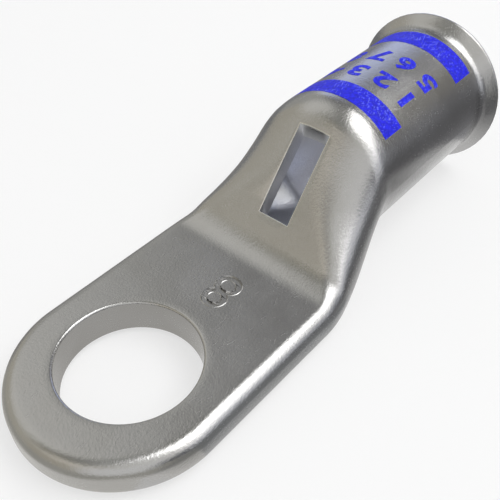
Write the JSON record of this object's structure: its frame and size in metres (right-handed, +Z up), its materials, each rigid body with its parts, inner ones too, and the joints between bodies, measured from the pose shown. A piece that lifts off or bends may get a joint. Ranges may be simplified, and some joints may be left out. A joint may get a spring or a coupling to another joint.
{
  "type": "cable lug",
  "caption": "Tinned copper cable lug: a tube pressed flat into a drilled tongue at one end, with a round barrel, inspection window and flared mouth for the wire.",
  "frame": {"origin": "centre of the bolt hole on the underside of the tongue, which is the mating face", "axes": "+X from the bolt hole along the lug to the mouth of the barrel, +Z up through the tongue along the bolt"},
  "size_m": [0.0316, 0.0108, 0.0093],
  "materials": {
    "tinned_copper": "satin tin plating over copper, finely speckled on the pressed tongue"
  },
  "bodies": {
    "root": {"lug": "tinned_copper"}
  },
  "joints": []
}
